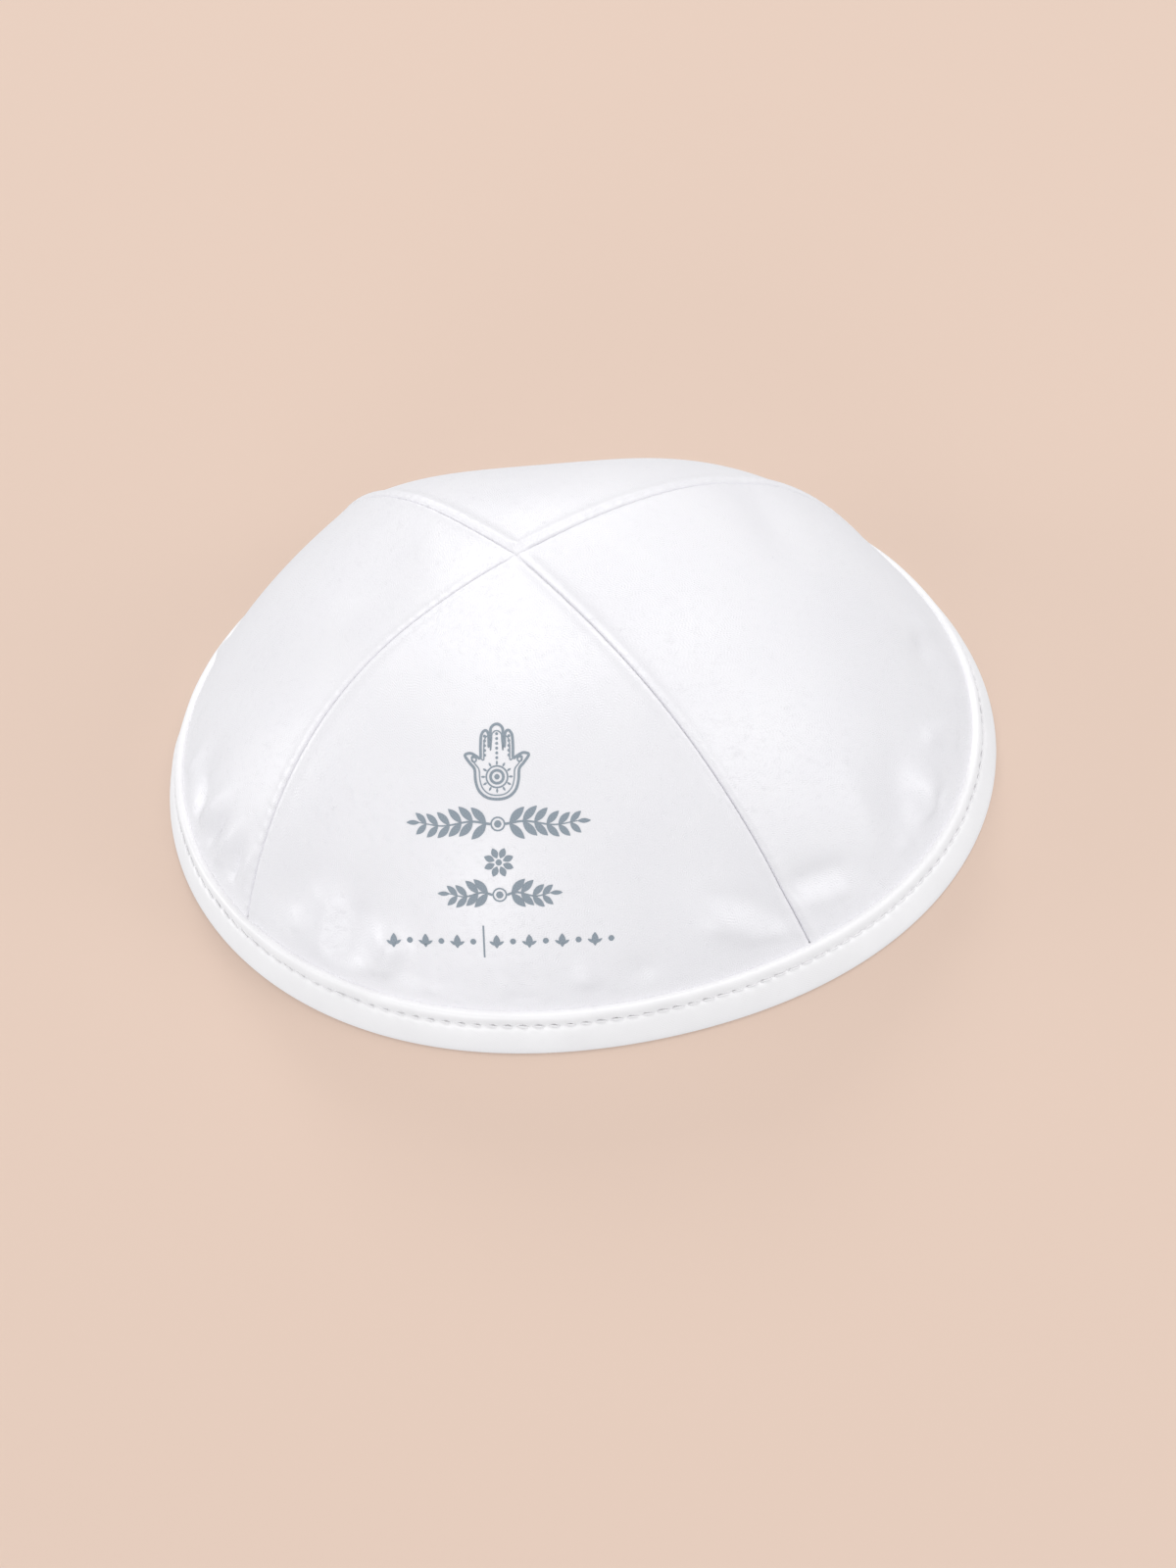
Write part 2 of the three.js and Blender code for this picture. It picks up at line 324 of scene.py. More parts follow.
# %% The dome
def spline(before, start, end, after, part):
    """A smooth way from start to end that also bends with the points before and after them."""
    second = 2 * before - 5 * start + 4 * end - after
    third = 3 * start - 3 * end + after - before
    return start + 0.5 * part * (end - before + part * (second + part * third))


def round_table(values, bearing):
    """Value of a table with one entry every equal step of bearing, smooth between entries."""
    table = np.asarray(values, float)
    position = (np.asarray(bearing) % 360) * len(table) / 360
    index = np.floor(position).astype(int)
    near = (table[(index + step) % len(table)] for step in (-1, 0, 1, 2))
    return spline(*near, position - index)


def swell(down):
    return np.maximum(np.sin(np.pi * down), 0) ** SWELL_POWER


def plan_radius(bearing, down):
    """Radius of the dome seen from above, before the crossing's shift."""
    angle = math.radians(DOME_ANGLE)
    oval = 1 + RIM_OVAL * np.cos(2 * np.radians(bearing - RIM_OVAL_BEARING))
    arc = np.sin(down * angle) / math.sin(angle)
    return CLOTH_RADIUS * oval * (arc + round_table(FULLNESS, bearing) * swell(down))


def dome_point(bearing, down):
    """Points of the smooth dome that the panels are cut to."""
    bearing, down = np.broadcast_arrays(bearing, down)
    angle = math.radians(DOME_ANGLE)
    rise = (np.cos(down * angle) - math.cos(angle)) / (1 - math.cos(angle))
    radius = plan_radius(bearing, down)
    x = radius * np.cos(np.radians(bearing)) + CROSSING_SHIFT * CLOTH_RADIUS * rise
    y = radius * np.sin(np.radians(bearing))
    z = EDGE_HEIGHT + (CROWN_HEIGHT - EDGE_HEIGHT) * rise
    return np.stack([x, y, z], -1)


def outward_at(bearing, down):
    """Way out of the cloth, turned level at the rim."""
    step = 0.01
    low = np.maximum(down - step, step)
    along = dome_point(bearing, low + step) - dome_point(bearing, low - step)
    middle = np.maximum(down, step)
    around = dome_point(bearing + 1, middle) - dome_point(bearing - 1, middle)
    outward = np.cross(along, around)
    outward /= np.linalg.norm(outward, axis=-1, keepdims=True)
    outward[..., 2] *= 1 - down**LEVEL_POWER
    return outward / np.linalg.norm(outward, axis=-1, keepdims=True)


apex = dome_point(np.array([0.0]), np.array([0.0]))[0]
print("crossing of the seams at", [round(float(value) / MM, 1) for value in apex], "mm")


# %% [markdown]
# A real cap has soft folds, because its cloth is thin and was packed flat, and its sewn edges draw
# it together. A cloth simulation would make folds of its own, but these lie in known places, so they
# are heights over the dome, taken from the tables above.

# %% Folds of the cloth
def seam_nearness(bearing):
    """1 on a seam, 0 midway between two."""
    seams = np.array([PANELS[0]["span"][0]] + [panel["span"][1] for panel in PANELS])
    turned = (bearing - seams[0]) % 360 + seams[0]
    index = np.clip(np.searchsorted(seams, turned, side="right") - 1, 0, len(PANELS) - 1)
    across = (turned - seams[index]) / (seams[index + 1] - seams[index])
    return (2 * across - 1) ** 2


def fold_height(bearing, down, folds):
    """How far a table of folds lifts or dents the cloth."""
    height = np.zeros(np.broadcast(bearing, down).shape)
    radius = plan_radius(bearing, down)
    for place, low, across, along, turn, rise in folds:
        sideways = np.radians((bearing - place + 180) % 360 - 180) * radius / RIM_RADIUS
        downwards = (down - low) * CROWN_ARC / RIM_RADIUS
        cosine, sine = math.cos(math.radians(turn)), math.sin(math.radians(turn))
        u = (sideways * cosine + downwards * sine) / across
        v = (downwards * cosine - sideways * sine) / along
        height += rise * RIM_RADIUS * np.exp(-u * u - v * v)
    return height


def bell(distance, width):
    """1 where the distance is 0, and smoothly less until it is nothing a few widths away."""
    return np.exp(-((distance / width) ** 2))


def gather_height(bearing, down):
    """How far the folds that run along a line lift or dent the cloth."""
    height = np.zeros(np.broadcast(bearing, down).shape)
    radius = plan_radius(bearing, down)
    for line, width, rise in GATHERS:
        middle = line[0][0]
        sideways = np.radians((bearing - middle + 180) % 360 - 180) * radius
        downwards = down * CROWN_ARC
        corners = []
        for place, low in line:
            aside = math.radians(place - middle) * float(plan_radius(place, low))
            corners.append(np.array((aside, low * CROWN_ARC)))
        nearest = np.full(height.shape, CROWN_ARC)
        for first, second in zip(corners, corners[1:]):
            side, drop = second - first
            share = (sideways - first[0]) * side + (downwards - first[1]) * drop
            share = np.clip(share / (side**2 + drop**2), 0, 1)
            away = np.hypot(sideways - first[0] - share * side, downwards - first[1] - share * drop)
            nearest = np.minimum(nearest, away)
        height += rise * MM * bell(nearest, width * MM)
    return height


def above_band(down, fade):
    """1 on the open cloth and 0 under the binding, smoothly between."""
    share = np.clip((1 - BAND_WIDTH / CROWN_ARC - down) / fade, 0, 1)
    return share * share * (3 - 2 * share)


def crown_point(bearing, down, offset=0.0):
    """Points of the cap's cloth, moved out of the panels' outer face by an offset."""
    bearing, down = np.broadcast_arrays(np.asarray(bearing, float), np.asarray(down, float))
    points = dome_point(bearing, down)
    points[..., 2] += SEAM_RISE * seam_nearness(bearing) * swell(down)
    lift = fold_height(bearing, down, FOLDS) * above_band(down, FOLD_FADE)
    sharp = fold_height(bearing, down, CREASES) + gather_height(bearing, down)
    lift = lift + sharp * above_band(down, CREASE_FADE)
    return points + outward_at(bearing, down) * (lift + offset)[..., None]


def uneven(lengths, wave, seed):
    """A gentle uneven wave along a length, from -1 to 1, the same each run."""
    steady = np.random.default_rng(seed)
    total = np.zeros(np.shape(lengths))
    for stretch in (1.0, 1.7, 0.61, 0.43):
        total += np.sin(2 * np.pi * lengths / (wave * stretch) + steady.uniform(0, 2 * np.pi))
    return total / 4


folded = crown_point(np.arange(0, 360, 2.0)[:, None], np.linspace(0, 1, 60)[None, :])
print("cloth with its folds reaches", round(float(folded[..., 2].max()) / MM, 1), "mm up")


# %% [markdown]
# White crepe-backed satin shows a soft wide highlight, a faint sheen at grazing angles, and a grain
# of short winding lines like a fingerprint. A little of the shader's metallic share stands for the
# long threads on its face, which mirror light. The grain could be modelled, but bump costs no faces.
# It reads each piece's UV map, which is in metres along the cloth, so it keeps its size.

# %% Satin finishes
# Grain is the size of its cells, its wavelength and its depth, and cloud is the size of the patches
# in which the colour drifts from low to high, all in millimetres
CLOTHS = {
    "satin_crepe": {
        "roughness": 0.46, "sheen": 0.15, "specular": 0.5, "metal": 0.16,
        "grain": (1.9, 0.52, 0.10), "order": 0.0, "slant": 0,
        "low": (0.875, 0.87, 0.90), "high": (0.90, 0.895, 0.92), "cloud": 22,
    },
    "satin_back": {
        "roughness": 0.8, "sheen": 0.35, "specular": 0.3, "metal": 0.0,
        "grain": (1.5, 0.5, 0.04), "order": 0.0, "slant": 0,
        "low": (0.81, 0.80, 0.81), "high": (0.86, 0.85, 0.86), "cloud": 15,
    },
    # The binding is the panels' white satin, but its colours are set lighter than theirs: painted
    # light, for the bright light that falls on the band's face.
    "satin_binding": {
        "roughness": 0.5, "sheen": 0.2, "specular": 0.5, "metal": 0.15,
        "grain": (2.4, 0.55, 0.03), "order": 0.85, "slant": 50,
        "low": (0.93, 0.925, 0.935), "high": (0.96, 0.955, 0.965), "cloud": 9,
    },
}


def crepe_bump(material, shader, grain, order=0.0, slant=0):
    """Crepe grain as bump, on the cloth's own UV map: Gabor noise has one wavelength and no fixed
    direction, so its waves bend and meet like the lines of a fingerprint."""
    cell, wave, depth = (size * MM for size in grain)
    place = add_node(material, "ShaderNodeUVMap", uv_map="cloth").outputs["UV"]
    lines = add_node(
        material, "ShaderNodeTexGabor", gabor_type="2D", Vector=place, Scale=1 / cell,
        Frequency=cell / wave, Anisotropy=order, Orientation_2D=math.radians(slant),
    ).outputs["Value"]
    bump = add_node(material, "ShaderNodeBump", Strength=1.0, Distance=depth, Height=lines)
    join(material, bump.outputs["Normal"], shader.inputs["Normal"])
    return lines


def colour_ramp(material, source, target, stops):
    """A colour that follows a value between two stops, each a position and a colour."""
    ramp = add_node(material, "ShaderNodeValToRGB", Fac=source)
    for element, (position, colour) in zip(ramp.color_ramp.elements, stops):
        element.position = position
        element.color = (*colour, 1)
    join(material, ramp.outputs["Color"], target)


def cloth_finish(name):
    """A cloth of the table: its shine, its grain, and a colour that drifts a little."""
    cloth = CLOTHS[name]
    material, shader = new_finish(
        name, cloth["low"], cloth["roughness"], cloth["sheen"], cloth["specular"]
    )
    shader.inputs["Metallic"].default_value = cloth["metal"]
    crepe_bump(material, shader, cloth["grain"], cloth["order"], cloth["slant"])
    place = add_node(material, "ShaderNodeUVMap", uv_map="cloth").outputs["UV"]
    scale = 1 / (cloth["cloud"] * MM)
    cloud = add_node(material, "ShaderNodeTexNoise", Vector=place, Scale=scale, Detail=3.0)
    stops = ((0.3, cloth["low"]), (0.7, cloth["high"]))
    colour_ramp(material, cloud.outputs["Fac"], shader.inputs["Base Color"], stops)
    return material


satin, cloth_back, binding = (cloth_finish(name) for name in CLOTHS)
print("finishes:", satin.name, cloth_back.name, binding.name)


# %% [markdown]
# Beside a seam the cloth turns down into the stitching, rises in a soft lip over the folded edge
# under it, and is drawn into small waves by the thread. These forms are half a millimetre high, so
# the grid has many columns close to a seam and few across the middle of a panel, which needs fewer
# points than an even grid fine enough for the seams.

# %% The cloth beside a seam
EDGE_STEPS = [0, 0.12, 0.25, 0.4, 0.6, 0.8, 1.05, 1.3, 1.6, 1.95, 2.4, 3.0, 3.8, 4.8]
MIDDLE_COLUMNS = 84
PANEL_ROWS = 190
TIP_DOWN = 0.0006
EDGE_SHARE = 0.38
GROOVE_DEPTH = 0.6 * MM
GROOVE_WIDTH = 0.2 * MM
PULL_PITCH = 3.1 * MM
PULL_REACH = 1.8 * MM
RIM_RIPPLE = 0.22 * MM
RIM_RIPPLE_WAVE = 9 * MM
RIM_RIPPLE_REACH = 7 * MM
PULL_BEAT_WAVE = 17 * MM
PULL_DRIFT_WAVE = 11 * MM
PULL_DRIFT = 1.3
CROSSING_REACH = 4 * MM
CROSSING_SHARE = 0.25


def beside_seam(distance, down, lip, pull, seed):
    """Height of the cloth beside a seam: a groove, a raised lip and the thread's pulls."""
    height = -GROOVE_DEPTH * bell(distance, GROOVE_WIDTH)
    rise, place, width = (size * MM for size in lip)
    height = height + rise * bell(distance - place, width)
    length = down * CROWN_ARC
    beat = 0.6 + 0.4 * uneven(length, PULL_BEAT_WAVE, seed)
    drift = PULL_DRIFT * uneven(length, PULL_DRIFT_WAVE, seed + 1)
    wave = np.sin(2 * np.pi * length / PULL_PITCH + drift)
    height = height + pull * MM * wave * beat * bell(distance, PULL_REACH)
    return height * np.clip(length / CROSSING_REACH, CROSSING_SHARE, 1)


def panel_grid(panel):
    """Bearings and downs of a panel's grid, with its columns gathered at the seams."""
    start, end = panel["span"]
    down = np.linspace(TIP_DOWN, 1, PANEL_ROWS + 1)[:, None]
    width = np.radians(end - start) * plan_radius((start + end) / 2, down)
    steps = np.array(EDGE_STEPS) * MM
    shrink = np.minimum(1, EDGE_SHARE * width / steps[-1])
    left = steps[None, :] * shrink / width
    inner = np.linspace(0, 1, MIDDLE_COLUMNS + 2)[None, 1:-1]
    middle = left[:, -1:] + (1 - 2 * left[:, -1:]) * inner
    share = np.concatenate([left, middle, 1 - left[:, ::-1]], 1)
    return start + (end - start) * share, np.broadcast_to(down, share.shape)


def panel_height(panel, bearing, down, seed):
    """Small forms of a panel's outer face."""
    start, end = panel["span"]
    radius = plan_radius(bearing, down)
    from_start = np.radians(bearing - start) * radius
    from_end = np.radians(end - bearing) * radius
    height = beside_seam(from_start, down, panel["lips"][0], panel["pulls"][0], seed)
    height = height + beside_seam(from_end, down, panel["lips"][1], panel["pulls"][1], seed + 7)
    above = (1 - BAND_WIDTH / CROWN_ARC - down) * CROWN_ARC
    around = np.radians(bearing) * RIM_RADIUS
    reach = bell(np.maximum(above, 0), RIM_RIPPLE_REACH) * (above > 0)
    return height + RIM_RIPPLE * uneven(around, RIM_RIPPLE_WAVE, 40) * reach


print("columns of a panel:", 2 * len(EDGE_STEPS) + MIDDLE_COLUMNS, "rows:", PANEL_ROWS + 1)


# %% [markdown]
# A panel of satin is a thin wall of cloth with a shiny face and a dull back. A Solidify modifier
# could thicken one grid, but laying the grid twice gives each face its own forms and its own finish:
# the outer face has the seams' lips, the inner one is plain, and the edges between them are closed.

# %% Panels of cloth
SHEET_SHARP = math.radians(50)


def cloth_object(name, points, faces, uv, materials):
    """A smooth mesh of four-sided faces, with a UV in metres for each corner of each face."""
    mesh = bpy.data.meshes.new(name)
    mesh.from_pydata(points.tolist(), [], faces.tolist())
    for material in materials:
        mesh.materials.append(material)
    mesh.shade_smooth()
    layer = mesh.uv_layers.new(name="cloth")
    layer.data.foreach_set("uv", uv.ravel().astype(np.float32))
    return new_object(name, mesh)


def sheet_object(name, outer, inner, uv, materials):
    """A walled sheet of cloth from two grids of points, outer and inner."""
    rows, columns = outer.shape[:2]
    back = rows * columns
    number = np.arange(back).reshape(rows, columns)
    a, b = number[:-1, :-1].ravel(), number[:-1, 1:].ravel()
    c, d = number[1:, 1:].ravel(), number[1:, :-1].ravel()
    faces = [np.stack([a, d, c, b], 1), np.stack([a, b, c, d], 1) + back]
    for edge in (number[:, 0], number[::-1, -1], number[0, ::-1], number[-1, :]):
        first, second = edge[:-1], edge[1:]
        faces.append(np.stack([first, first + back, second + back, second], 1))
    faces = np.concatenate(faces)
    points = np.concatenate([outer.reshape(-1, 3), inner.reshape(-1, 3)])
    both_sides_uv = np.tile(uv.reshape(-1, 2), (2, 1))
    piece = cloth_object(name, points, faces, both_sides_uv[faces], materials)
    index = np.zeros(len(faces), np.int32)
    index[len(a) : 2 * len(a)] = 1
    piece.data.polygons.foreach_set("material_index", index)
    piece.data.set_sharp_from_angle(angle=SHEET_SHARP)
    return piece


UV_APART = 0.37


def make_panel(panel, seed):
    bearing, down = panel_grid(panel)
    outer = crown_point(bearing, down, panel_height(panel, bearing, down, seed))
    inner = crown_point(bearing, down, -PANEL_CLOTH)
    middle = sum(panel["span"]) / 2
    across = np.radians(bearing - middle) * plan_radius(bearing, down)
    uv = np.stack([across, -down * CROWN_ARC], -1)
    name = panel["node"] + "_satin"
    piece = sheet_object(name, outer, inner, uv + seed * UV_APART, [satin, cloth_back])
    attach(piece, "root")
    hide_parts(panel["node"])
    return piece


panel_pieces = [make_panel(panel, 3 + 11 * index) for index, panel in enumerate(PANELS)]


# %% [markdown]
# The binding is a strip folded lengthwise over the rim. Its upper edge is a fold, which puffs out
# like a soft cord, and one row of stitches pulls a shallow groove under it. Below that the strip
# lies flat and turns under the rim. A bevelled curve could follow the rim, but its section couldn't
# change at each stitch, so the section is a list of points that a formula moves.

# %% The binding's section
BAND_COLUMNS = 1480
STITCH_SHARE = 0.68
GROOVE_SHARE = 0.055
FLAT_SHARES = (0.02, 0.14, 0.26, 0.37, 0.46, 0.53, 0.58, 0.61, 0.64, 0.66, 0.68, 0.70, 0.725)
FLAT_CROWN = 0.2 * MM

# The folded edge: share of the binding's height, and share of the fold's full thickness
ROLL_PROFILE = [
    (0.755, 0.78), (0.79, 0.89), (0.835, 0.97), (0.885, 1.0), (0.93, 1.0), (0.962, 0.94),
    (0.984, 0.80), (0.997, 0.58), (1.0, 0.34), (0.998, 0.12), (0.99, -0.06),
]
NARROWING = 0.055
NARROW_BEARING = 268
STITCH_PITCH = 3.3 * MM
PUCKER = 0.14 * MM
PUCKER_SHARE = 0.10
PUCKER_SLANT = 0.8
PUCKER_MEAN = 0.65
PUCKER_TURNS = (23, 9)
HOLE_DEPTH = 0.42 * MM
HOLE_WIDTH = 0.32 * MM
HOLE_STRETCH = 1.4
BAND_WAVE = 0.2 * MM
INNER_WAVE = 0.1 * MM
UNDER_SHARES = (0.9, 0.4)
UNDER_OFFSET = 0.2 * BIND_GAP
LEG_ROUND = 0.35 * BAND_CLOTH
BAND_SHARP = math.radians(60)
DRIFT_TURNS = (17, 29, 41, 47)
LEG_SAMPLES = 4
CHANNEL = -PANEL_CLOTH - BIND_GAP


def rim_lengths(bearings):
    """Length round the outside of the rim at each bearing."""
    points = crown_point(bearings, np.ones(len(bearings)), BIND_GAP + BAND_CLOTH)
    strides = np.linalg.norm(np.diff(points, axis=0), axis=1)
    return np.concatenate([[0], np.cumsum(strides)])


def down_at(bearings, lengths):
    """How far down the crown lie the lengths up from the panels' edge, one row for each bearing."""
    downs = np.linspace(1, 0.8, 81)
    grid = dome_point(bearings[:, None], downs[None, :])
    walked = np.cumsum(np.linalg.norm(np.diff(grid, axis=1), axis=2), axis=1)
    walked = np.concatenate([np.zeros((len(bearings), 1)), walked], 1)
    return np.array([np.interp(length, row, downs) for length, row in zip(lengths, walked)])


def band_rows():
    """The outside's points as rows: length up from the panels' edge and offset out of the cloth."""
    face = BIND_GAP + BAND_CLOTH
    top = BAND_WIDTH - EDGE_HEIGHT
    rows = []
    for share in FLAT_SHARES:
        sink = STITCH_SINK * bell(share - STITCH_SHARE, GROOVE_SHARE)
        crown = FLAT_CROWN * math.sin(math.pi * min(share / STITCH_SHARE, 1))
        rows.append((share * top, face - sink + crown))
    for share, thickness in ROLL_PROFILE:
        rows.append((share * top, thickness * (face + FOLD_ROLL)))
    return rows


def narrowed(bearings, lengths):
    """Lengths up the binding at each bearing. It is a little narrower at the front."""
    apart = np.radians(bearings - NARROW_BEARING)
    share = 1 - NARROWING * np.exp(2 * (np.cos(apart) - 1))
    return share[:, None] * np.asarray(lengths)[None, :]


print("rows of the binding's outside:", len(band_rows()))


# %% [markdown]
# Carried round the rim, the section becomes a ring that closes on itself. The outside gets the small
# waves and holes that the stitches make in real cloth, and one length round the rim is a whole number
# of stitches, so that the row meets itself.

# %% Binding
def at_height(bearings, offset, height):
    """The rim's points at one height over the floor."""
    points = crown_point(bearings, np.ones(len(bearings)), offset)
    points[:, 2] = height
    return points


def outer_leg(bearings, around, pitch, drift):
    """The binding's outside, from its lower edge up over the folded edge and back under it."""
    top = BAND_WIDTH - EDGE_HEIGHT
    rows = band_rows()
    downs = down_at(bearings, narrowed(bearings, [length for length, offset in rows]))
    circle = 2 * np.pi * around / around[-1]
    quick, slow = (np.sin(circle * turns + slide) for turns, slide in zip(PUCKER_TURNS, (1, 0)))
    strength = PUCKER_MEAN + (1 - PUCKER_MEAN) * quick * slow
    from_hole = (around / pitch - np.round(around / pitch)) * pitch
    section = []
    for index, (length, offset) in enumerate(rows):
        share = length / top
        away = (share - STITCH_SHARE) * top
        near = bell(share - STITCH_SHARE, PUCKER_SHARE)
        beat = 2 * np.pi * (around + PUCKER_SLANT * away) / pitch
        wave = -np.cos(beat) * PUCKER * strength * near
        hole = bell(np.hypot(from_hole, HOLE_STRETCH * away), HOLE_WIDTH)
        broad = BAND_WAVE * drift * math.sin(math.pi * min(share, 1))
        lift = offset + wave + broad - HOLE_DEPTH * hole
        section.append(crown_point(bearings, downs[:, index], lift))
    under = down_at(bearings, narrowed(bearings, [share * top for share in UNDER_SHARES]))
    section += [crown_point(bearings, downs, UNDER_OFFSET) for downs in under.T]
    return section


def inner_leg(bearings, drift):
    """The binding's inside, up the face in its channel and down its free face."""
    legs = np.linspace(0, INNER_LEG_WIDTH, LEG_SAMPLES + 1) * np.ones((len(bearings), 1))
    legs[:, -1] += LEG_ROUND
    downs = down_at(bearings, legs)
    section = [crown_point(bearings, downs[:, index], CHANNEL) for index in range(LEG_SAMPLES)]
    section.append(crown_point(bearings, downs[:, -1], CHANNEL - BAND_CLOTH / 2))
    face = CHANNEL - BAND_CLOTH + INNER_WAVE * drift
    for index in reversed(range(LEG_SAMPLES)):
        section.append(crown_point(bearings, downs[:, index], face))
    return section


def make_band():
    bearings = np.linspace(0, 360, BAND_COLUMNS + 1)
    around = rim_lengths(bearings)
    pitch = around[-1] / round(around[-1] / STITCH_PITCH)
    circle = 2 * np.pi * around / around[-1]
    drift = sum(np.sin(circle * turns + turns * turns) for turns in DRIFT_TURNS) / len(DRIFT_TURNS)
    turns = np.linspace(0, math.pi / 2, 5)
    ins, ups = BAND_CORNER * (1 - np.sin(turns)), BAND_CORNER * (1 - np.cos(turns))
    face, inner_face = BIND_GAP + BAND_CLOTH, CHANNEL - BAND_CLOTH
    section = [at_height(bearings, face - inwards, up) for inwards, up in zip(ins, ups)]
    section += outer_leg(bearings, around, pitch, drift)
    section += [at_height(bearings, offset, BAND_CLOTH) for offset in (BIND_GAP, CHANNEL)]
    section += inner_leg(bearings, drift)
    section += [at_height(bearings, inner_face + inwards, up) for inwards, up in zip(ups, ins)]
    return ring_object("rim_band_satin", np.stack(section, 1)[:-1], around), pitch


def ring_object(name, grid, around):
    """A closed ring from sections of points, with a UV map in metres: along it as far as around
    says, and across it along the section."""
    columns, size = grid.shape[:2]
    number = np.arange(columns * size).reshape(columns, size)
    after, up = np.roll(number, -1, 0), np.roll(number, -1, 1)
    faces = np.stack([number, after, np.roll(after, -1, 1), up], -1).reshape(-1, 4)
    strides = np.linalg.norm(np.diff(grid, axis=1), axis=2).mean(0)
    across = np.concatenate([[0], np.cumsum(strides), [strides.sum() + BAND_CLOTH]])
    column, row = np.divmod(np.arange(columns * size), size)
    corners = ((0, 0), (1, 0), (1, 1), (0, 1))
    uv = [np.stack([around[column + ahead], across[row + above]], 1) for ahead, above in corners]
    piece = cloth_object(name, grid.reshape(-1, 3), faces, np.stack(uv, 1), [binding])
    piece.data.set_sharp_from_angle(angle=BAND_SHARP)
    return piece


band, stitch_pitch = make_band()
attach(band, "root")
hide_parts("rim_band")
print("binding faces", len(band.data.polygons), "stitch pitch", round(stitch_pitch / MM, 2), "mm")


# %% [markdown]
# One row of white thread holds the binding. Each stitch could be copied in a loop, but stitches
# repeat along a line, which is what Geometry Nodes are good at. The tree below takes a curve in the
# groove of the binding, places a point every stitch, and puts a short plump thread on each point,
# turned along the curve. Realize Instances makes them real mesh at the end.

# %% Stitches
THREAD_LENGTH = 2.7 * MM
THREAD_WIDTH = 0.5 * MM
THREAD_SLANT = math.radians(8)
THREAD_LIFT = 0.06 * MM
STITCH_POINTS = 720


def thread_finish():
    material, shader = new_finish("white_thread", (0.87, 0.865, 0.875), 0.5, 0.2)
    place = add_node(material, "ShaderNodeTexCoord").outputs["Object"]
    ply = add_node(material, "ShaderNodeTexWave", Vector=place, Scale=2200.0, Distortion=1.0)
    height = ply.outputs["Fac"]
    bump = add_node(material, "ShaderNodeBump", Strength=0.4, Distance=0.03 * MM, Height=height)
    join(material, bump.outputs["Normal"], shader.inputs["Normal"])
    return material


def stitch_tree(material, pitch):
    """Geometry Nodes: one thread on a curve at every pitch."""
    tree = bpy.data.node_groups.new("row_of_stitches", "GeometryNodeTree")
    tree.interface.new_socket("Geometry", in_out="INPUT", socket_type="NodeSocketGeometry")
    tree.interface.new_socket("Geometry", in_out="OUTPUT", socket_type="NodeSocketGeometry")
    line = add_node(tree, "NodeGroupInput").outputs["Geometry"]
    points = add_node(tree, "GeometryNodeResampleCurve", mode="LENGTH", Curve=line, Length=pitch)
    thread = add_node(tree, "GeometryNodeMeshUVSphere", Segments=8, Rings=8, Radius=0.5)
    size = (THREAD_WIDTH, THREAD_WIDTH, THREAD_LENGTH)
    shape = add_node(tree, "GeometryNodeTransform", Geometry=thread.outputs["Mesh"], Scale=size)
    tangent = add_node(tree, "GeometryNodeInputTangent").outputs["Tangent"]
    align = add_node(tree, "FunctionNodeAlignRotationToVector", axis="Z", Vector=tangent)
    slant = add_node(
        tree, "FunctionNodeRotateRotation", rotation_space="LOCAL",
        Rotation=align.outputs["Rotation"], Rotate_By=(THREAD_SLANT, 0, 0),
    )
    row = add_node(
        tree, "GeometryNodeInstanceOnPoints", Points=points.outputs["Curve"],
        Instance=shape.outputs["Geometry"], Rotation=slant.outputs["Rotation"],
    )
    real = add_node(tree, "GeometryNodeRealizeInstances", Geometry=row.outputs["Instances"])
    dressed = add_node(
        tree, "GeometryNodeSetMaterial", Geometry=real.outputs["Geometry"], Material=material
    )
    add_node(tree, "NodeGroupOutput", Geometry=dressed.outputs["Geometry"])
    return tree


def closed_curve(name, points):
    data = bpy.data.curves.new(name, "CURVE")
    data.dimensions = "3D"
    line = data.splines.new("POLY")
    line.points.add(len(points) - 1)
    for target, point in zip(line.points, points):
        target.co = (*point, 1)
    line.use_cyclic_u = True
    return new_object(name, data)


def make_stitches(pitch):
    bearings = np.linspace(0, 360, STITCH_POINTS + 1)[:-1]
    length = STITCH_SHARE * (BAND_WIDTH - EDGE_HEIGHT)
    downs = down_at(bearings, narrowed(bearings, [length]))[:, 0]
    offset = BIND_GAP + BAND_CLOTH - STITCH_SINK + PUCKER + THREAD_LIFT
    curve = closed_curve("stitch_line", crown_point(bearings, downs, offset).tolist())
    curve.data.use_radius = False
    modifier = curve.modifiers.new("stitches", "NODES")
    modifier.node_group = stitch_tree(thread_finish(), pitch)
    return plain_mesh(curve, "rim_stitches")


def plain_mesh(source, name):
    """The evaluated result of an object as a plain mesh object, with the source removed."""
    bpy.context.view_layer.update()
    graph = bpy.context.evaluated_depsgraph_get()
    mesh = bpy.data.meshes.new_from_object(source.evaluated_get(graph))
    mesh.name = name
    mesh.shade_smooth()
    bpy.data.objects.remove(source)
    return new_object(name, mesh)


stitches = make_stitches(stitch_pitch)
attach(stitches, "root")
print("stitch faces", len(stitches.data.polygons))


# %% [markdown]
# Inside the cap the panels' edges show as pressed seam allowances. They could be part of the panels,
# but as strips of their own they stay simple: each lies against the inner face along a seam, from
# near the crossing down into the binding.

# %% Seam allowances inside
ALLOWANCE_HALF = 5.0 * MM
ALLOWANCE_CLOTH = 0.5 * MM
ALLOWANCE_ROWS = 90
ALLOWANCE_OFFSETS = (-1.0, -0.66, -0.33, -0.06, 0.0, 0.06, 0.33, 0.66, 1.0)
ALLOWANCE_SPAN = (0.05, 0.985)
ALLOWANCE_SHARE = 0.6
ALLOWANCE_LIFT = 0.12 * MM
ALLOWANCE_FOLD = 0.25 * MM
ALLOWANCE_FOLD_SHARE = 0.08


